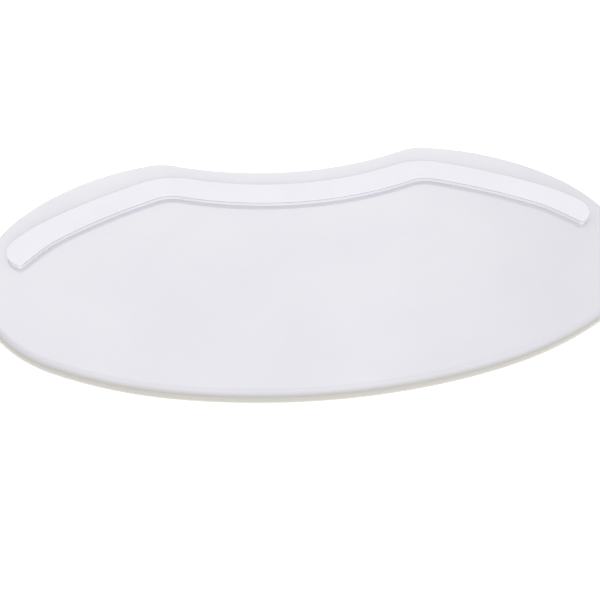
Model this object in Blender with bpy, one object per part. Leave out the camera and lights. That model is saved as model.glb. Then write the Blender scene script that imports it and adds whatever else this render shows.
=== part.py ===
"""Curved transfer board, for sliding from one seat to another.

A long kidney-shaped board lies flat. Its front is a wide oval sweep, its ends are rounded, and a shallow
notch with two shoulders in the back edge goes round a wheelchair's wheel. A glossy cap with a round rim
wraps a stiff core, a panel closes the underside, a raised strip along the back edge stops the user from
sliding off, and rubber pads under both ends and the middle keep the board from creeping.

The origin is on the supporting surface, under the centre of the board: +X to the user's right along the
board, +Y towards the notch, +Z up. Metres.
"""

import bpy
import bmesh
from math import ceil, cos, degrees, pi, radians, sin

# Driving dimensions
LENGTH = 0.700
THICKNESS = 0.016
RIM_RADIUS = THICKNESS / 2
WALL = 0.0025
LIP_WIDTH = 0.012
GAP = 0.0003

# Right half of the outline, from the middle of the front to the notch: radius as a share of LENGTH, turn.
# The notch arc that closes it is worked out, because it has to end square to the board's middle line.
OUTLINE_ARCS = (
    (0.925, 14.2),  # front sweep
    (0.606, 17.3),  # front quarter
    (0.2305, 98.9),  # rounded end
    (0.359, 39.5),  # flank behind the end
    (0.071, 33.9),  # shoulder of the notch
)

# Stop strip, and its centre line's right half from the notch outwards: radius in metres, turn.
STRIP_WIDTH = 0.035
STRIP_HEIGHT = 0.004
STRIP_EDGE = 0.0012
STRIP_INSET = 0.0535  # from the board's edge to the strip's centre line, in the middle of the notch
STRIP_ARCS = (
    (-0.345, 21.8),  # round the notch
    (0.052, 44.9),  # over the shoulder
    (0.568, 12.0),  # along the flank
    (0.150, 15.0),  # drawn in at the end
)
STRIP_END_RUN = 0.030
STRIP_FRONT_CORNER = 0.004
STRIP_REAR_CORNER = 0.028
TAPE_THICKNESS = 0.0004
TAPE_MARGIN = 0.0015

# Grip pads under the board
PAD_THICKNESS = 0.0016
PAD_EDGE = 0.0005
PAD_WIDTH = 0.040
END_PAD_LENGTH = 0.130
END_PAD_X = 0.250
END_PAD_Y = 0.012
END_PAD_PITCH = 0.062
END_PAD_SPLAY = 12.0
MIDDLE_PAD_LENGTH = 0.200
MIDDLE_PAD_Y = -0.020

# Heights, from the surface that the pads stand on
PAD_TAPE_Z = PAD_THICKNESS + GAP
BOARD_Z = PAD_TAPE_Z + TAPE_THICKNESS + GAP
BOARD_TOP = BOARD_Z + THICKNESS
STRIP_TAPE_Z = BOARD_TOP + GAP
STRIP_Z = STRIP_TAPE_Z + TAPE_THICKNESS + GAP

# How finely curves are divided
STEP_LENGTH = 0.020
STEP_TURN = 7.5
RIM_STEPS = 6


# Materials

def material(name, colour, roughness, metallic=0.0):
    made = bpy.data.materials.new(name)
    made.use_nodes = True
    shader = made.node_tree.nodes["Principled BSDF"]
    shader.inputs["Base Color"].default_value = (*colour, 1.0)
    shader.inputs["Roughness"].default_value = roughness
    shader.inputs["Metallic"].default_value = metallic
    made.diffuse_color = (*colour, 1.0)
    return made


def cap_plastic():
    return material("cap_plastic", (0.83, 0.83, 0.86), 0.12)


def panel_plastic():
    return material("panel_plastic", (0.72, 0.72, 0.74), 0.45)


def birch_ply():
    return material("birch_ply", (0.68, 0.52, 0.34), 0.60)


def strip_plastic():
    return material("strip_plastic", (0.88, 0.88, 0.91), 0.60)


def adhesive_tape():
    return material("adhesive_tape", (0.55, 0.55, 0.53), 0.50)


def pad_rubber():
    return material("pad_rubber", (0.12, 0.12, 0.13), 0.80)


# Curves, as stations: (x, y, heading), where heading is the direction of travel in radians

def arc_stations(start, radius, turn):
    """Stations after start along one arc. A positive radius turns left, and a negative one right."""
    x, y, heading = start
    steps = ceil(max(abs(radius) * turn / STEP_LENGTH, degrees(turn) / STEP_TURN))
    side = 1.0 if radius > 0 else -1.0
    centre_x = x - radius * sin(heading)
    centre_y = y + radius * cos(heading)
    stations = []
    for step in range(1, steps + 1):
        angle = heading + side * turn * step / steps
        stations.append((centre_x + radius * sin(angle), centre_y - radius * cos(angle), angle))
    return stations


def chain(start, arcs):
    """Stations along arcs that run smoothly into each other. An arc is (radius, turn in radians)."""
    stations = [start]
    for radius, turn in arcs:
        stations += arc_stations(stations[-1], radius, turn)
    return stations


def mirrored(half):
    """The whole curve, from its right half, which starts on the middle line."""
    left = [(-x, y, -heading) for x, y, heading in reversed(half[1:])]
    return left + half


def half_outline():
    """The right half of the board's edge, scaled to LENGTH and centred on the board's depth."""
    half = chain((0.0, 0.0, 0.0), [(share * LENGTH, radians(turn)) for share, turn in OUTLINE_ARCS])
    x, _, heading = half[-1]
    notch_turn = heading - pi
    half += arc_stations(half[-1], -x / sin(notch_turn), notch_turn)
    scale = LENGTH / 2 / max(x for x, _, _ in half)
    middle = (min(y for _, y, _ in half) + max(y for _, y, _ in half)) / 2
    return [(x * scale, (y - middle) * scale, heading) for x, y, heading in half]


HALF_OUTLINE = half_outline()
NOTCH_Y = HALF_OUTLINE[-1][1]


def board_outline():
    """Stations once round the board's edge, anticlockwise from the middle of the front."""
    back = [(-x, y, 2 * pi - heading) for x, y, heading in reversed(HALF_OUTLINE[1:-1])]
    return HALF_OUTLINE + back


BOARD_OUTLINE = board_outline()


def inset_ring(stations, inset, z):
    """The stations' points moved inwards, which is to the left of travel, at height z."""
    return [(x - inset * sin(heading), y + inset * cos(heading), z) for x, y, heading in stations]


def strip_centre_line(shortened=0.0):
    """The strip's centre line, whose last stretch at each end is straight."""
    arcs = [(-radius, radians(turn)) for radius, turn in STRIP_ARCS]
    half = chain((0.0, NOTCH_Y - STRIP_INSET, 0.0), arcs)
    half.append(moved(half[-1], STRIP_END_RUN - shortened))
    return mirrored(half)


def moved(station, along):
    x, y, heading = station
    return (x + along * cos(heading), y + along * sin(heading), heading)


def band_edge(line, offset, corner):
    """One edge of a band, this far to the right of its centre line, ending where its corners begin."""
    kept = [moved(line[0], corner)] + line[1:-1] + [moved(line[-1], -corner)]
    return [(x + offset * sin(heading), y - offset * cos(heading), heading) for x, y, heading in kept]


def band_end(start, width, first_corner, last_corner):
    """Stations across a band's square end, between its two rounded corners."""
    end = arc_stations(start, first_corner, pi / 2)
    end.append(moved(end[-1], width - first_corner - last_corner))
    return end + arc_stations(end[-1], last_corner, pi / 2)[:-1]


def band_outline(line, width, front_corner, rear_corner):
    """Stations round a band along a centre line, anticlockwise from the left end of its front edge."""
    outline = band_edge(line, width / 2, front_corner)
    outline += band_end(outline[-1], width, front_corner, rear_corner)
    rear = band_edge(line, -width / 2, rear_corner)
    outline += [(x, y, heading + pi) for x, y, heading in reversed(rear)]
    outline += band_end(outline[-1], width, rear_corner, front_corner)
    return outline


def slot_outline(length, width, centre, angle):
    """Stations round a slot with half-round ends, at an angle in degrees to the X axis."""
    radius = width / 2
    straight = length - width
    heading = radians(angle)
    start = moved((centre[0] + radius * sin(heading), centre[1] - radius * cos(heading), heading), -straight / 2)
    outline = [start, moved(start, straight)]
    outline += arc_stations(outline[-1], radius, pi)
    outline.append(moved(outline[-1], straight))
    outline += arc_stations(outline[-1], radius, pi)[:-1]
    return outline


# Solids

def add_node(name, mesh_data, node_material):
    mesh_data.materials.append(node_material)
    node = bpy.data.objects.new(name, mesh_data)
    bpy.context.scene.collection.objects.link(node)
    return node


def lofted(name, rings, node_material, sharp_angle=35.0):
    """A closed solid through rings of equally many points. The first and last rings are capped."""
    bm = bmesh.new()
    loops = [[bm.verts.new(point) for point in ring] for ring in rings]
    count = len(loops[0])
    for lower, upper in zip(loops, loops[1:]):
        for i in range(count):
            j = (i + 1) % count
            bm.faces.new((lower[i], lower[j], upper[j], upper[i]))
    bm.faces.new(list(reversed(loops[0])))
    bm.faces.new(loops[-1])
    bmesh.ops.recalc_face_normals(bm, faces=bm.faces)
    mesh_data = bpy.data.meshes.new(name)
    bm.to_mesh(mesh_data)
    bm.free()
    mesh_data.shade_smooth()
    mesh_data.set_sharp_from_angle(angle=radians(sharp_angle))
    return add_node(name, mesh_data, node_material)


def round_section(middle_z, centre_inset, radius, start, end, steps):
    """(inset, z) points round the rim's section, from one angle to another: 90 is up and -90 is down."""
    points = []
    for step in range(steps + 1):
        angle = radians(start + (end - start) * step / steps)
        points.append((centre_inset - radius * cos(angle), middle_z + radius * sin(angle)))
    return points


def board_solid(name, section, node_material):
    rings = [inset_ring(BOARD_OUTLINE, inset, z) for inset, z in section]
    return lofted(name, rings, node_material)


def flat_plate(name, stations, bottom, thickness, edge, node_material, bottom_edge=0.0):
    """A plate with rounded or chamfered top and bottom edges; an edge of 0 stays sharp."""
    top = bottom + thickness
    rings = []
    if bottom_edge:
        rings.append(inset_ring(stations, bottom_edge, bottom))
        rings.append(inset_ring(stations, 0.0, bottom + bottom_edge))
    else:
        rings.append(inset_ring(stations, 0.0, bottom))
    if edge:
        for inset, z in round_section(top - edge, edge, edge, 0.0, 90.0, 3):
            rings.append(inset_ring(stations, inset, z))
    else:
        rings.append(inset_ring(stations, 0.0, top))
    return lofted(name, rings, node_material)


# Sub-parts

def top_cap():
    """Glossy sheet formed over the core: flat top, round rim, and a lip that turns in underneath."""
    middle = BOARD_Z + RIM_RADIUS
    section = round_section(middle, RIM_RADIUS, RIM_RADIUS, 90.0, -90.0, RIM_STEPS)
    section.append((LIP_WIDTH, BOARD_Z))
    section.append((LIP_WIDTH, BOARD_Z + WALL))
    section += round_section(middle, RIM_RADIUS, RIM_RADIUS - WALL, -90.0, 90.0, RIM_STEPS)
    board_solid("top_cap", section, cap_plastic())


def core():
    """Stiff plywood core that fills the cap, with a round edge that follows the rim."""
    middle = BOARD_Z + RIM_RADIUS
    radius = RIM_RADIUS - WALL - GAP
    section = round_section(middle, RIM_RADIUS, radius, -90.0, 90.0, RIM_STEPS)
    board_solid("plywood_core", section, birch_ply())


def bottom_panel():
    """Flat panel that closes the underside, flush inside the cap's lip."""
    inset = LIP_WIDTH + GAP
    section = [(inset, BOARD_Z), (inset, BOARD_Z + WALL)]
    board_solid("bottom_panel", section, panel_plastic())


def stop_strip():
    """Raised strip on the top, and the adhesive film that bonds it."""
    corners = (STRIP_FRONT_CORNER, STRIP_REAR_CORNER)
    outline = band_outline(strip_centre_line(), STRIP_WIDTH, *corners)
    flat_plate("stop_strip", outline, STRIP_Z, STRIP_HEIGHT, STRIP_EDGE, strip_plastic())
    film_corners = [corner - TAPE_MARGIN for corner in corners]
    film = band_outline(strip_centre_line(TAPE_MARGIN), STRIP_WIDTH - 2 * TAPE_MARGIN, *film_corners)
    flat_plate("stop_strip_tape", film, STRIP_TAPE_Z, TAPE_THICKNESS, 0.0, adhesive_tape())


def grip_pad(name, length, centre, angle):
    """One slot-shaped rubber pad under the board, and the adhesive film that bonds it."""
    outline = slot_outline(length, PAD_WIDTH, centre, angle)
    flat_plate(name, outline, 0.0, PAD_THICKNESS, 0.0, pad_rubber(), bottom_edge=PAD_EDGE)
    film = slot_outline(length - 2 * TAPE_MARGIN, PAD_WIDTH - 2 * TAPE_MARGIN, centre, angle)
    flat_plate(name + "_tape", film, PAD_TAPE_Z, TAPE_THICKNESS, 0.0, adhesive_tape())


def grip_pads():
    """Two pads under each end, splayed like the end's outline, and one long pad under the middle."""
    for side, side_name in ((-1, "left"), (1, "right")):
        for place, place_name in ((-0.5, "inner"), (0.5, "outer")):
            centre = (side * (END_PAD_X + place * END_PAD_PITCH), END_PAD_Y)
            angle = 90.0 + side * END_PAD_SPLAY
            grip_pad(f"grip_pad_{side_name}_{place_name}", END_PAD_LENGTH, centre, angle)
    grip_pad("grip_pad_middle", MIDDLE_PAD_LENGTH, (0.0, MIDDLE_PAD_Y), 0.0)


def main():
    for old in list(bpy.data.objects):
        bpy.data.objects.remove(old, do_unlink=True)
    top_cap()
    core()
    bottom_panel()
    stop_strip()
    grip_pads()


main()
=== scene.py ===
"""Looks of the curved transfer board: fine meshes, materials, a small studio and the camera.

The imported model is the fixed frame. Every fine mesh stands in the space of the CAD node that it
replaces, on the same curves, which are divided more finely here. Metres, +Z up, +Y towards the notch.
"""

from math import ceil, cos, degrees, pi, radians, sin

import bmesh
import bpy
from mathutils import Matrix, Vector


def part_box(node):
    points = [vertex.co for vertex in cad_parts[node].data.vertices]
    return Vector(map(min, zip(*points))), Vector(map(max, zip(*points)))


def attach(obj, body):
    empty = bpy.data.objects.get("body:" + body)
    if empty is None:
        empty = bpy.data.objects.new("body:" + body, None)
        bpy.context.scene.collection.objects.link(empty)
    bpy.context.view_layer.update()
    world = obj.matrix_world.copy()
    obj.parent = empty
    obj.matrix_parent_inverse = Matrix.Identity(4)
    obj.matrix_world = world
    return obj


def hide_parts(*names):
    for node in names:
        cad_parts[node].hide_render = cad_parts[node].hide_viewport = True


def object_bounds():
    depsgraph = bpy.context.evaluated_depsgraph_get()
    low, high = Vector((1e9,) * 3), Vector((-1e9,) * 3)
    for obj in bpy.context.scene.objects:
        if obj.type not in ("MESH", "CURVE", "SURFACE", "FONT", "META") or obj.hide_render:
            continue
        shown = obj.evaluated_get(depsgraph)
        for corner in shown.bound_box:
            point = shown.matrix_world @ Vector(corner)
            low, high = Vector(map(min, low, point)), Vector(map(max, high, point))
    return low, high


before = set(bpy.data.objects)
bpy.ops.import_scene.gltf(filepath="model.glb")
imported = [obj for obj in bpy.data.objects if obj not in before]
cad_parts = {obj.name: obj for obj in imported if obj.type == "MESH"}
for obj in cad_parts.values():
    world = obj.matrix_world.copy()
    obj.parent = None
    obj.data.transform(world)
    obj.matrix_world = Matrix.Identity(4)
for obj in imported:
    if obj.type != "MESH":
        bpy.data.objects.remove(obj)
CAD_LOW, CAD_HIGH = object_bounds()

# Places, read from the frame
CAP_LOW, CAP_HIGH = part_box("top_cap")
PANEL_LOW, PANEL_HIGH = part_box("bottom_panel")
STRIP_LOW, STRIP_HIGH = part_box("stop_strip")
LENGTH = CAP_HIGH.x - CAP_LOW.x
THICKNESS = CAP_HIGH.z - CAP_LOW.z
RIM_RADIUS = THICKNESS / 2
RIM_MIDDLE_Z = CAP_LOW.z + RIM_RADIUS
LIP_WIDTH = PANEL_LOW.x - CAP_LOW.x
WALL = PANEL_HIGH.z - PANEL_LOW.z

# Right half of the outline, from the middle of the front to the notch: radius as a share of LENGTH,
# turn in degrees. The notch arc that closes it ends square to the board's middle line.
OUTLINE_ARCS = (
    (0.925, 14.2),  # front sweep
    (0.606, 17.3),  # front quarter
    (0.2305, 98.9),  # rounded end
    (0.359, 39.5),  # flank behind the end
    (0.071, 33.9),  # shoulder of the notch
)

# Stop strip: its centre line's right half from the notch outwards, as radius in metres and turn
STRIP_WIDTH = 0.035
STRIP_INSET = 0.0535
STRIP_ARCS = (
    (-0.345, 21.8),  # round the notch
    (0.052, 44.9),  # over the shoulder
    (0.568, 12.0),  # along the flank
    (0.150, 15.0),  # drawn in at the end
)
STRIP_END_RUN = 0.030
STRIP_FRONT_CORNER = 0.004
STRIP_REAR_CORNER = 0.028

# Section of the strip: a top skin over a body, with a fine groove between them, and a thin skirt that
# reaches down almost to the board outside the adhesive film
SKIN_EDGE = 0.0005
SKIN_THICKNESS = 0.0009
GROOVE_HEIGHT = 0.0004
GROOVE_DEPTH = 0.0004
GROOVE_EASE = 0.00015
SKIRT_WIDTH = 0.0011
SKIRT_CLEARANCE = 0.00003
GROOVE_SHADE_MARGIN = 0.0001  # how far the painted shade of the groove reaches past it

# Grip pads: the place of each is read from its box. Those at the ends are turned END_PAD_SPLAY degrees
# away from the Y axis
PAD_WIDTH = 0.040
END_PAD_LENGTH = 0.130
END_PAD_SPLAY = 12.0
MIDDLE_PAD_LENGTH = 0.200
PAD_EDGE = 0.0005
RIB_PITCH = 0.0045
RIB_DEPTH = 0.0007

# One rib and the groove beside it, as (share of RIB_PITCH inwards, share of RIB_DEPTH upwards)
RIB_PROFILE = ((0.0, 0.0), (0.12, 0.8), (0.22, 1.0), (0.42, 1.0), (0.52, 0.8), (0.64, 0.0))

# Cap: rings of the flat top shrink towards a centre in front of the board's middle, crowded a little
# towards the rim, and the edge of the turned-in lip is eased
TOP_CENTRE_SHIFT = -0.03
RING_CROWDING = 0.9
LIP_GAP = 0.0003
LIP_EASE = ((0.0009, 0.0), (0.0005, 0.0003), (LIP_GAP, 0.0007))  # (back from the lip's end, up)

PANEL_EASE = 0.0006  # at the underside panel's lower edge

# How finely curves are divided
STEP_LENGTH = 0.004
STEP_TURN = 3.0
RIM_STEPS = 28
SKIN_RINGS = 34
SHARP_ANGLE = 40.0  # edges that turn by more degrees than this are drawn sharp

# Camera: the point that it looks at, its distance from there in metres, its angles in degrees, and its
# lens in millimetres
CAMERA_TARGET = Vector((-0.0237, -0.0587, 0.0106))
CAMERA_DISTANCE = 1.014
CAMERA_ELEVATION = 42.025
CAMERA_AZIMUTH = -9.688
CAMERA_ROLL = 1.628
CAMERA_LENS = 59.35
CAMERA_SENSOR = 36.0


# Curves, as stations: (x, y, heading), where heading is the direction of travel in radians

def arc_stations(start, radius, turn):
    """Stations after start along one arc. A positive radius turns left, and a negative one right."""
    x, y, heading = start
    steps = ceil(max(abs(radius) * turn / STEP_LENGTH, degrees(turn) / STEP_TURN))
    side = 1.0 if radius > 0 else -1.0
    centre_x = x - radius * sin(heading)
    centre_y = y + radius * cos(heading)
    stations = []
    for step in range(1, steps + 1):
        angle = heading + side * turn * step / steps
        stations.append((centre_x + radius * sin(angle), centre_y - radius * cos(angle), angle))
    return stations


def chain(start, arcs):
    """Stations along arcs that run smoothly into each other. An arc is (radius, turn in radians)."""
    stations = [start]
    for radius, turn in arcs:
        stations += arc_stations(stations[-1], radius, turn)
    return stations


def mirrored(half):
    """The whole curve, from its right half, which starts on the middle line."""
    left = [(-x, y, -heading) for x, y, heading in reversed(half[1:])]
    return left + half


def half_outline():
    """The right half of the board's edge, scaled to LENGTH and centred on the board's depth."""
    half = chain((0.0, 0.0, 0.0), [(share * LENGTH, radians(turn)) for share, turn in OUTLINE_ARCS])
    x, _, heading = half[-1]
    notch_turn = heading - pi
    half += arc_stations(half[-1], -x / sin(notch_turn), notch_turn)
    scale = LENGTH / 2 / max(x for x, _, _ in half)
    middle = (min(y for _, y, _ in half) + max(y for _, y, _ in half)) / 2
    return [(x * scale, (y - middle) * scale, heading) for x, y, heading in half]


HALF_OUTLINE = half_outline()
NOTCH_Y = HALF_OUTLINE[-1][1]


def board_outline():
    """Stations once round the board's edge, anticlockwise from the middle of the front."""
    back = [(-x, y, 2 * pi - heading) for x, y, heading in reversed(HALF_OUTLINE[1:-1])]
    return HALF_OUTLINE + back


BOARD_OUTLINE = board_outline()


def inset_ring(stations, inset, z):
    """The stations' points moved inwards, which is to the left of travel, at height z."""
    return [(x - inset * sin(heading), y + inset * cos(heading), z) for x, y, heading in stations]


def moved(station, along):
    x, y, heading = station
    return (x + along * cos(heading), y + along * sin(heading), heading)


def strip_centre_line():
    """The strip's centre line, whose last stretch at each end is straight."""
    arcs = [(-radius, radians(turn)) for radius, turn in STRIP_ARCS]
    half = chain((0.0, NOTCH_Y - STRIP_INSET, 0.0), arcs)
    half.append(moved(half[-1], STRIP_END_RUN))
    return mirrored(half)


def band_edge(line, offset, corner):
    """One edge of a band, this far to the right of its centre line, ending where its corners begin."""
    kept = [moved(line[0], corner)] + line[1:-1] + [moved(line[-1], -corner)]
    return [(x + offset * sin(heading), y - offset * cos(heading), heading) for x, y, heading in kept]


def band_end(start, width, first_corner, last_corner):
    """Stations across a band's square end, between its two rounded corners."""
    end = arc_stations(start, first_corner, pi / 2)
    end.append(moved(end[-1], width - first_corner - last_corner))
    return end + arc_stations(end[-1], last_corner, pi / 2)[:-1]


def band_outline(line, width, front_corner, rear_corner):
    """Stations round a band along a centre line, anticlockwise from the left end of its front edge."""
    outline = band_edge(line, width / 2, front_corner)
    outline += band_end(outline[-1], width, front_corner, rear_corner)
    rear = band_edge(line, -width / 2, rear_corner)
    outline += [(x, y, heading + pi) for x, y, heading in reversed(rear)]
    outline += band_end(outline[-1], width, rear_corner, front_corner)
    return outline


def slot_outline(length, width, centre, angle):
    """Stations round a slot with half-round ends, at an angle in degrees to the X axis."""
    radius = width / 2
    straight = length - width
    heading = radians(angle)
    corner = (centre[0] + radius * sin(heading), centre[1] - radius * cos(heading), heading)
    start = moved(corner, -straight / 2)
    outline = [start, moved(start, straight)]
    outline += arc_stations(outline[-1], radius, pi)
    outline.append(moved(outline[-1], straight))
    outline += arc_stations(outline[-1], radius, pi)[:-1]
    return outline


def round_section(middle_z, centre_inset, radius, start, end, steps):
    """(inset, z) points round a quarter or half round: 90 degrees is up, 0 outwards and -90 down."""
    points = []
    for step in range(steps + 1):
        angle = radians(start + (end - start) * step / steps)
        points.append((centre_inset - radius * cos(angle), middle_z + radius * sin(angle)))
    return points


# Meshes

def add_piece(name, bm, node):
    """A finished piece that stands for a CAD node and rides on the board."""
    bmesh.ops.recalc_face_normals(bm, faces=bm.faces)
    mesh = bpy.data.meshes.new(name)
    bm.to_mesh(mesh)
    bm.free()
    mesh.shade_smooth()
    mesh.set_sharp_from_angle(angle=radians(SHARP_ANGLE))
    piece = bpy.data.objects.new(name, mesh)
    bpy.context.scene.collection.objects.link(piece)
    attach(piece, "root")
    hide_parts(node)
    return piece


def loft(bm, rings):
    """A closed skin through rings of equally many points, with a face across the first and the last."""
    loops = [[bm.verts.new(point) for point in ring] for ring in rings]
    count = len(loops[0])
    for lower, upper in zip(loops, loops[1:]):
        for i in range(count):
            j = (i + 1) % count
            bm.faces.new((lower[i], lower[j], upper[j], upper[i]))
    bm.faces.new(list(reversed(loops[0])))
    bm.faces.new(loops[-1])


def lofted_section(stations, section):
    bm = bmesh.new()
    loft(bm, [inset_ring(stations, inset, z) for inset, z in section])
    return bm


# Sheet waviness: the cap's skin follows the core with slight long waves, lowest in their hollows
WAVE_HEIGHT = 0.00012
WAVE_FADE = 12.0  # how fast the waves grow from nothing at the rim, in heights per share of the way in
WAVES = (  # radians per metre along X and along Y, and a phase
    (17.0, 9.0, 0.4),
    (-11.0, 21.0, 1.9),
    (31.0, -14.0, 3.1),
    (8.0, 33.0, 5.2),
)


def waviness(x, y):
    """Depth of the sheet's long waves under the flat top, from 0 to WAVE_HEIGHT."""
    total = sum(sin(along * x + across * y + phase) for along, across, phase in WAVES)
    return WAVE_HEIGHT * (0.5 - total / (2 * len(WAVES)))


def cap_piece(node):
    """Formed sheet: wavy flat top drawn over a round rim, with a lip turned in underneath."""
    centre = Vector((0.0, (CAP_LOW.y + CAP_HIGH.y) / 2 + TOP_CENTRE_SHIFT))
    edge = inset_ring(BOARD_OUTLINE, RIM_RADIUS, CAP_HIGH.z)
    rings = []
    for step in range(1, SKIN_RINGS + 1):
        share = (step / SKIN_RINGS) ** RING_CROWDING
        ring = []
        for x, y, z in edge:
            flat = centre.lerp(Vector((x, y)), share)
            fade = min(1.0, (1.0 - share) * WAVE_FADE)
            ring.append((flat.x, flat.y, z - fade * waviness(flat.x, flat.y)))
        rings.append(ring)
    section = round_section(RIM_MIDDLE_Z, RIM_RADIUS, RIM_RADIUS, 90.0, -90.0, RIM_STEPS)[1:]
    lip_top = CAP_LOW.z + WALL
    section += [(LIP_WIDTH - inset, CAP_LOW.z + rise) for inset, rise in LIP_EASE]
    section.append((LIP_WIDTH - LIP_GAP, lip_top))
    inner_radius = RIM_RADIUS - WALL
    section += round_section(RIM_MIDDLE_Z, RIM_RADIUS, inner_radius, -90.0, 90.0, RIM_STEPS // 2)
    rings += [inset_ring(BOARD_OUTLINE, inset, z) for inset, z in section]
    bm = bmesh.new()
    loft(bm, rings)
    return add_piece("cap_shell", bm, node)


def panel_piece(node):
    """Underside panel with an eased edge, inside the cap's lip."""
    section = [
        (LIP_WIDTH, PANEL_HIGH.z),
        (LIP_WIDTH, PANEL_LOW.z + PANEL_EASE),
        (LIP_WIDTH + 0.3 * PANEL_EASE, PANEL_LOW.z + 0.3 * PANEL_EASE),
        (LIP_WIDTH + PANEL_EASE, PANEL_LOW.z),
        (LIP_WIDTH + 3 * PANEL_EASE, PANEL_LOW.z),
    ]
    return add_piece("base_panel", lofted_section(BOARD_OUTLINE, section), node)


def strip_piece(node):
    """Raised stop strip: a body, a narrow groove, and a top skin with rounded edges."""
    outline = band_outline(strip_centre_line(), STRIP_WIDTH, STRIP_FRONT_CORNER, STRIP_REAR_CORNER)
    groove_top = STRIP_HIGH.z - SKIN_THICKNESS
    groove_bottom = groove_top - GROOVE_HEIGHT
    skirt_foot = CAP_HIGH.z + SKIRT_CLEARANCE
    section = [
        (2 * SKIRT_WIDTH, STRIP_LOW.z),
        (SKIRT_WIDTH, STRIP_LOW.z),
        (SKIRT_WIDTH, skirt_foot),
        (0.0, skirt_foot),
        (0.0, groove_bottom - GROOVE_EASE),
        (GROOVE_DEPTH, groove_bottom),
        (GROOVE_DEPTH, groove_top),
        (0.0, groove_top + GROOVE_EASE),
    ]
    section += round_section(STRIP_HIGH.z - SKIN_EDGE, SKIN_EDGE, SKIN_EDGE, 0.0, 90.0, 6)
    section.append((4 * SKIN_EDGE, STRIP_HIGH.z))
    return add_piece("stop_strip_body", lofted_section(outline, section), node)


def pad_places():
    """(node, length, angle) of each grip pad."""
    places = [("grip_pad_middle", MIDDLE_PAD_LENGTH, 0.0)]
    for side, side_name in ((-1, "left"), (1, "right")):
        for place_name in ("inner", "outer"):
            angle = 90.0 + side * END_PAD_SPLAY
            places.append((f"grip_pad_{side_name}_{place_name}", END_PAD_LENGTH, angle))
    return places


def pad_piece(node, length, angle):
    """Moulded pad whose tread is a set of nested ribs that follow the slot's outline."""
    low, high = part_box(node)
    centre = ((low.x + high.x) / 2, (low.y + high.y) / 2)
    outline = slot_outline(length, PAD_WIDTH, centre, angle)
    section = [
        (0.0, high.z),
        (0.0, low.z + PAD_EDGE),
        (0.4 * PAD_EDGE, low.z + 0.4 * PAD_EDGE),
        (PAD_EDGE, low.z),
    ]
    inset = RIB_PITCH / 2
    while inset + RIB_PITCH < PAD_WIDTH / 2:
        for share, depth in RIB_PROFILE:
            section.append((inset + share * RIB_PITCH, low.z + depth * RIB_DEPTH))
        inset += RIB_PITCH
    name = node.replace("grip_pad", "ribbed_pad")
    return add_piece(name, lofted_section(outline, section), node)


# Materials

class Nodes:
    """A small helper that adds and links a material's nodes."""

    def __init__(self, name):
        self.material = bpy.data.materials.new(name)
        self.material.use_nodes = True
        self.tree = self.material.node_tree
        self.shader = self.tree.nodes["Principled BSDF"]

    def add(self, kind, values=(), settings=()):
        node = self.tree.nodes.new(kind)
        for name, value in dict(settings).items():
            setattr(node, name, value)
        for name, value in dict(values).items():
            if isinstance(value, bpy.types.NodeSocket):
                self.tree.links.new(value, node.inputs[name])
            else:
                node.inputs[name].default_value = value
        return node

    def link(self, source, target):
        self.tree.links.new(source, target)

    def place(self, scale=(1.0, 1.0, 1.0), turn=0.0):
        """Object coordinates, in metres, scaled and turned about Z."""
        coordinates = self.add("ShaderNodeTexCoord").outputs["Object"]
        values = {"Vector": coordinates, "Scale": scale, "Rotation": (0.0, 0.0, radians(turn))}
        return self.add("ShaderNodeMapping", values).outputs["Vector"]

    def noise(self, scale, detail=3.0, roughness=0.5, where=None):
        values = {
            "Vector": where or self.place(),
            "Scale": scale,
            "Detail": detail,
            "Roughness": roughness,
        }
        return self.add("ShaderNodeTexNoise", values).outputs["Fac"]

    def ramp(self, value, low, high, start=0.0, end=1.0):
        """value mapped from one range to another, clamped."""
        values = {"Value": value, "From Min": low, "From Max": high, "To Min": start, "To Max": end}
        return self.add("ShaderNodeMapRange", values).outputs["Result"]

    def math(self, operation, first, second=0.0):
        node = self.add("ShaderNodeMath", settings={"operation": operation})
        for socket, value in zip(node.inputs, (first, second)):
            if isinstance(value, bpy.types.NodeSocket):
                self.link(value, socket)
            else:
                socket.default_value = value
        return node.outputs[0]

    def mix(self, share, first, second):
        """A colour between two others."""
        node = self.add("ShaderNodeMix", settings={"data_type": "RGBA"})
        colour_inputs = [socket for socket in node.inputs if socket.type == "RGBA"]
        for socket, value in zip([node.inputs[0], *colour_inputs], (share, first, second)):
            if isinstance(value, bpy.types.NodeSocket):
                self.link(value, socket)
            elif isinstance(value, tuple):
                socket.default_value = (*value, 1.0)
            else:
                socket.default_value = value
        return [socket for socket in node.outputs if socket.type == "RGBA"][0]

    def facing_up(self):
        """1 on faces that look straight up, 0 on sideways ones and -1 on those that look down."""
        normal = self.add("ShaderNodeNewGeometry").outputs["Normal"]
        return self.add("ShaderNodeSeparateXYZ", {"Vector": normal}).outputs["Z"]

    def bump(self, height, distance, strength=1.0, under=None):
        values = {"Height": height, "Distance": distance, "Strength": strength}
        if under is not None:
            values["Normal"] = under
        return self.add("ShaderNodeBump", values).outputs["Normal"]

    def finish(self, colour, roughness, normal, **constants):
        self.link(colour, self.shader.inputs["Base Color"])
        self.link(roughness, self.shader.inputs["Roughness"])
        self.link(normal, self.shader.inputs["Normal"])
        for name, value in constants.items():
            self.shader.inputs[name.replace("_", " ")].default_value = value
        return self.material


TOP_WHITE = (0.630, 0.623, 0.667)
TOP_SHADE = (0.608, 0.601, 0.647)
# Painted shade: the rim's colour, darker and warmer where the cap turns away from upwards
RIM_PAINTED_SHADE = (0.338, 0.327, 0.298)
RIM_SHADE_BAND = (0.985, 0.50)  # facing_up where the rim's painted shade begins, and where it is full


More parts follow.
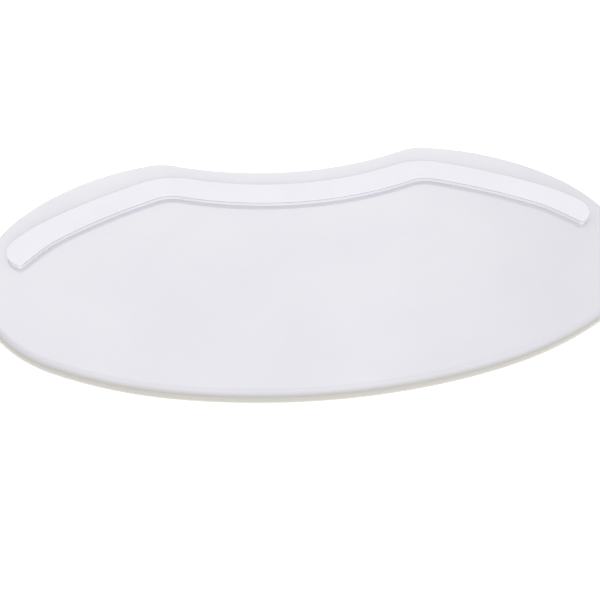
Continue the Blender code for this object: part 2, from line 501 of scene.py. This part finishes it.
def cap_plastic():
    """Glossy lilac-white sheet: mottling, painted shade that makes the rim darker and warmer, orange peel,
    and sliding scratches.
    """
    n = Nodes("cap_plastic")
    mottle = n.ramp(n.noise(9.0, 4.0, 0.55), 0.35, 0.65)
    colour = n.mix(mottle, TOP_SHADE, TOP_WHITE)
    # Painted shade: the colour darkens and warms on the rim as the surface turns away from upwards
    colour = n.mix(n.ramp(n.facing_up(), *RIM_SHADE_BAND), colour, RIM_PAINTED_SHADE)
    specks = n.ramp(n.noise(1400.0, 2.0), 0.74, 0.8, 0.0, 0.10)
    colour = n.mix(specks, colour, (0.45, 0.44, 0.43))
    scratches = n.noise(60.0, 6.0, 0.7, n.place((1.0, 34.0, 1.0), 4.0))
    cross = n.noise(60.0, 6.0, 0.7, n.place((26.0, 1.0, 1.0), -8.0))
    worn = n.math("MAXIMUM", n.ramp(scratches, 0.6, 0.72), n.ramp(cross, 0.64, 0.74))
    smear = n.ramp(n.noise(14.0, 5.0, 0.6), 0.3, 0.75, 0.05, 0.09)
    roughness = n.math("ADD", smear, n.math("MULTIPLY", worn, 0.06))
    peel = n.bump(n.noise(170.0, 2.0, 0.4), 0.00003)
    scored = n.bump(worn, 0.000004, 0.5, peel)
    return n.finish(colour, roughness, scored, IOR=1.49, Coat_Weight=1.0, Coat_Roughness=0.04)


def strip_plastic():
    """Matt white strip with a fine grain, faint rub marks, and painted shade in its groove."""
    n = Nodes("strip_plastic")
    cloud = n.ramp(n.noise(24.0, 5.0, 0.6), 0.3, 0.7)
    colour = n.mix(cloud, (0.744, 0.737, 0.784), (0.768, 0.761, 0.809))
    coordinates = n.add("ShaderNodeTexCoord").outputs["Object"]
    height = n.add("ShaderNodeSeparateXYZ", {"Vector": coordinates}).outputs["Z"]
    # Painted shade: the groove and a thin margin round it are coloured darker
    groove_shade_top = STRIP_HIGH.z - SKIN_THICKNESS + GROOVE_SHADE_MARGIN
    groove_shade_bottom = groove_shade_top - GROOVE_HEIGHT - 2 * GROOVE_SHADE_MARGIN
    below = n.math("LESS_THAN", height, groove_shade_top)
    above = n.math("GREATER_THAN", height, groove_shade_bottom)
    groove = n.math("MULTIPLY", below, above)
    colour = n.mix(groove, colour, (0.48, 0.47, 0.50))
    grain = n.noise(1500.0, 4.0, 0.6)
    rubs = n.noise(30.0, 6.0, 0.7, n.place((1.0, 9.0, 1.0), 10.0))
    roughness = n.math("SUBTRACT", n.ramp(grain, 0.3, 0.7, 0.52, 0.66), n.ramp(rubs, 0.6, 0.75, 0.0, 0.12))
    fine = n.bump(grain, 0.00008)
    soft = n.bump(n.noise(90.0, 3.0), 0.00006, 1.0, fine)
    return n.finish(colour, roughness, soft, IOR=1.45)


def panel_plastic():
    """Underside panel with a pebbled moulded grain and a few scuffs."""
    n = Nodes("panel_plastic")
    cloud = n.ramp(n.noise(7.0, 4.0), 0.35, 0.65)
    colour = n.mix(cloud, (0.560, 0.560, 0.585), (0.625, 0.625, 0.645))
    scuffs = n.ramp(n.noise(22.0, 8.0, 0.75, n.place((1.0, 16.0, 1.0), 14.0)), 0.62, 0.72)
    colour = n.mix(n.math("MULTIPLY", scuffs, 0.35), colour, (0.40, 0.40, 0.42))
    cells = n.add("ShaderNodeTexVoronoi", {"Vector": n.place(), "Scale": 620.0}).outputs["Distance"]
    pebbles = n.ramp(cells, 0.0, 0.9)
    roughness = n.math("ADD", n.ramp(cells, 0.1, 0.8, 0.42, 0.56), n.math("MULTIPLY", scuffs, 0.1))
    normal = n.bump(n.math("SUBTRACT", 1.0, pebbles), 0.0003)
    return n.finish(colour, roughness, normal)


def pad_rubber():
    """Dark rubber with a fine matt grain, and dust caught on it."""
    n = Nodes("pad_rubber")
    cloud = n.ramp(n.noise(40.0, 4.0), 0.3, 0.7)
    colour = n.mix(cloud, (0.032, 0.032, 0.035), (0.050, 0.050, 0.053))
    dust = n.ramp(n.noise(160.0, 6.0, 0.7), 0.56, 0.78, 0.0, 0.30)
    colour = n.mix(dust, colour, (0.24, 0.23, 0.22))
    grain = n.noise(2200.0, 3.0, 0.6)
    roughness = n.ramp(grain, 0.3, 0.7, 0.68, 0.88)
    return n.finish(colour, roughness, n.bump(grain, 0.0001))


def adhesive_tape():
    """Foam tape seen on edge: greyish, with small open cells."""
    n = Nodes("adhesive_tape")
    cells = n.add("ShaderNodeTexVoronoi", {"Vector": n.place(), "Scale": 1600.0}).outputs["Distance"]
    colour = n.mix(n.ramp(cells, 0.1, 0.7), (0.22, 0.22, 0.21), (0.36, 0.35, 0.33))
    roughness = n.ramp(n.noise(500.0, 3.0), 0.3, 0.7, 0.45, 0.65)
    return n.finish(colour, roughness, n.bump(cells, 0.00008))


VENEER = 0.0028  # thickness of one layer of the plywood


def birch_ply():
    """Plywood core: thin glued veneers in turn along and across, with a fine grain."""
    n = Nodes("birch_ply")
    coordinates = n.add("ShaderNodeTexCoord").outputs["Object"]
    height = n.add("ShaderNodeSeparateXYZ", {"Vector": coordinates}).outputs["Z"]
    layer = n.math("FRACT", n.math("DIVIDE", height, VENEER))
    glue = n.ramp(n.math("ABSOLUTE", n.math("SUBTRACT", layer, 0.5)), 0.44, 0.49)
    grain = n.noise(16.0, 8.0, 0.65, n.place((1.0, 22.0, 1.0)))
    colour = n.mix(n.ramp(grain, 0.3, 0.7), (0.46, 0.31, 0.17), (0.66, 0.48, 0.29))
    colour = n.mix(n.math("MULTIPLY", glue, 0.7), colour, (0.16, 0.09, 0.05))
    roughness = n.ramp(grain, 0.3, 0.7, 0.55, 0.75)
    return n.finish(colour, roughness, n.bump(grain, 0.0002))


def paint(objects, material):
    for painted in objects:
        painted.data.materials.clear()
        painted.data.materials.append(material)


# Studio

FLOOR_SIZE = 14.0
FLOOR_CLEARANCE = 0.0002
FLOOR_WHITE = (0.93, 0.93, 0.93)
FLOOR_BRIGHT = (0.95, 0.95, 0.95)
FLOOR_GLOW = 0.50
DOME_COLOUR = (1.0, 0.998, 1.0, 1.0)
HORIZON_LIGHT = 0.56
OVERHEAD_LIGHT = 1.06
DOME_BAND = (0.58, 0.98)  # sines of the elevations between which the dome brightens
LOW_LIGHT = 0.40  # added low down all round
LOW_BAND = (0.75, 0.35)  # sines of the elevations between which the low light grows

# Soft fill in front of the board, which lights it without being mirrored in it
FILL_PLACE = (0.0, -2.6, 1.0)
FILL_SIZE = (2.4, 1.2)
FILL_POWER = 41.0


def floor_material():
    """Pale seamless floor with a barely visible tooth."""
    n = Nodes("studio_floor")
    tooth = n.noise(220.0, 4.0)
    colour = n.mix(tooth, FLOOR_WHITE, FLOOR_BRIGHT)
    roughness = n.ramp(tooth, 0.3, 0.7, 0.85, 0.95)
    glow = {"Emission_Color": (1.0, 1.0, 1.0, 1.0), "Emission_Strength": FLOOR_GLOW}
    return n.finish(colour, roughness, n.bump(tooth, 0.0001), Specular_IOR_Level=0.2, **glow)


def add_floor():
    bm = bmesh.new()
    half = FLOOR_SIZE / 2
    z = CAD_LOW.z - FLOOR_CLEARANCE
    corners = ((-half, -half), (half, -half), (half, half), (-half, half))
    bm.faces.new([bm.verts.new((x, y, z)) for x, y in corners])
    mesh = bpy.data.meshes.new("floor")
    bm.to_mesh(mesh)
    bm.free()
    mesh.materials.append(floor_material())
    floor = bpy.data.objects.new("floor", mesh)
    bpy.context.scene.collection.objects.link(floor)


def add_world():
    """Soft dome of light, brighter overhead and round the horizon than between them."""
    world = bpy.data.worlds.new("studio")
    world.use_nodes = True
    tree = world.node_tree
    background = tree.nodes["Background"]
    direction = tree.nodes.new("ShaderNodeTexCoord")
    parts = tree.nodes.new("ShaderNodeSeparateXYZ")
    tree.links.new(direction.outputs["Generated"], parts.inputs["Vector"])

    def smooth(value, band, start, end):
        node = tree.nodes.new("ShaderNodeMapRange")
        node.interpolation_type = "SMOOTHSTEP"
        for name, number in zip(("From Min", "From Max", "To Min", "To Max"), (*band, start, end)):
            node.inputs[name].default_value = number
        tree.links.new(value, node.inputs["Value"])
        return node.outputs["Result"]

    overhead = smooth(parts.outputs["Z"], DOME_BAND, HORIZON_LIGHT, OVERHEAD_LIGHT)
    low_down = smooth(parts.outputs["Z"], LOW_BAND, 0.0, LOW_LIGHT)
    total = tree.nodes.new("ShaderNodeMath")
    total.operation = "ADD"
    for socket, value in zip(total.inputs, (overhead, low_down)):
        tree.links.new(value, socket)
    tree.links.new(total.outputs[0], background.inputs["Strength"])
    background.inputs["Color"].default_value = DOME_COLOUR
    bpy.context.scene.world = world


def add_front_fill():
    light = bpy.data.lights.new("front_fill", "AREA")
    light.shape = "RECTANGLE"
    light.size, light.size_y = FILL_SIZE
    light.energy = FILL_POWER
    lamp = bpy.data.objects.new("front_fill", light)
    lamp.location = FILL_PLACE
    lamp.rotation_euler = (-Vector(FILL_PLACE)).to_track_quat("-Z", "Y").to_euler()
    lamp.visible_camera = False
    lamp.visible_glossy = False
    bpy.context.scene.collection.objects.link(lamp)


def add_camera():
    elevation, azimuth, roll = (radians(a) for a in (CAMERA_ELEVATION, CAMERA_AZIMUTH, CAMERA_ROLL))
    back = Vector((sin(azimuth) * cos(elevation), -cos(azimuth) * cos(elevation), sin(elevation)))
    right = (-back).cross(Vector((0.0, 0.0, 1.0))).normalized()
    up = back.cross(right)
    across = cos(roll) * right + sin(roll) * up
    upwards = cos(roll) * up - sin(roll) * right
    camera_data = bpy.data.cameras.new("camera")
    camera_data.lens = CAMERA_LENS
    camera_data.sensor_width = CAMERA_SENSOR
    camera_data.clip_start = 0.01
    camera = bpy.data.objects.new("camera", camera_data)
    turn = Matrix((across, upwards, back)).transposed()
    camera.matrix_world = Matrix.Translation(CAMERA_TARGET + CAMERA_DISTANCE * back) @ turn.to_4x4()
    bpy.context.scene.collection.objects.link(camera)
    bpy.context.scene.camera = camera


# Upright soft light wall behind the board, which the gloss mirrors
WALL_Y = 2.2
WALL_X = (-1.60, 2.40)
WALL_Z = (0.05, 4.00)
WALL_LIGHT = 1.75
WALL_RIGHT_SHARE = 0.70
WALL_DROP = (0.7, 1.5)  # places along X between which the light drops to that share

# Fading of the wall's light towards each side, as (axis, outer place, inner place, share left outside)
WALL_FADES = (
    ("X", -1.50, -0.90, 0.85),
    ("X", 2.30, 1.80, 0.85),
    ("Z", 0.40, 1.05, 0.55),
    ("Z", 3.80, 2.85, 0.50),
)


def wall_material():
    """Soft light wall: brighter on the left, and fading towards its edges."""
    n = Nodes("light_wall")
    n.tree.nodes.remove(n.shader)
    coordinates = n.add("ShaderNodeTexCoord").outputs["Object"]
    parts = n.add("ShaderNodeSeparateXYZ", {"Vector": coordinates}).outputs
    level = n.ramp(parts["X"], *WALL_DROP, WALL_LIGHT, WALL_LIGHT * WALL_RIGHT_SHARE)
    for axis, outer, inner, share_left in WALL_FADES:
        level = n.math("MULTIPLY", level, n.ramp(parts[axis], outer, inner, share_left, 1.0))
    glow = n.add("ShaderNodeEmission", {"Strength": level})
    n.link(glow.outputs["Emission"], n.tree.nodes["Material Output"].inputs["Surface"])
    return n.material


def add_wall():
    bm = bmesh.new()
    corners = [(x, WALL_Y, z) for x, z in (
        (WALL_X[0], WALL_Z[0]), (WALL_X[1], WALL_Z[0]), (WALL_X[1], WALL_Z[1]), (WALL_X[0], WALL_Z[1]))]
    bm.faces.new([bm.verts.new(corner) for corner in corners])
    mesh = bpy.data.meshes.new("light_wall")
    bm.to_mesh(mesh)
    bm.free()
    mesh.materials.append(wall_material())
    wall = bpy.data.objects.new("light_wall", mesh)
    wall.visible_camera = False
    bpy.context.scene.collection.objects.link(wall)


def build_pieces():
    paint([cap_piece("top_cap")], cap_plastic())
    paint([panel_piece("bottom_panel")], panel_plastic())
    paint([strip_piece("stop_strip")], strip_plastic())
    pads = [pad_piece(node, length, angle) for node, length, angle in pad_places()]
    paint(pads, pad_rubber())
    tapes = [shown for name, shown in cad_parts.items() if name.endswith("_tape")]
    paint(tapes, adhesive_tape())
    paint([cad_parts["plywood_core"]], birch_ply())


build_pieces()
add_floor()
add_world()
add_front_fill()
add_wall()
add_camera()
bpy.context.scene.view_settings.view_transform = "Standard"
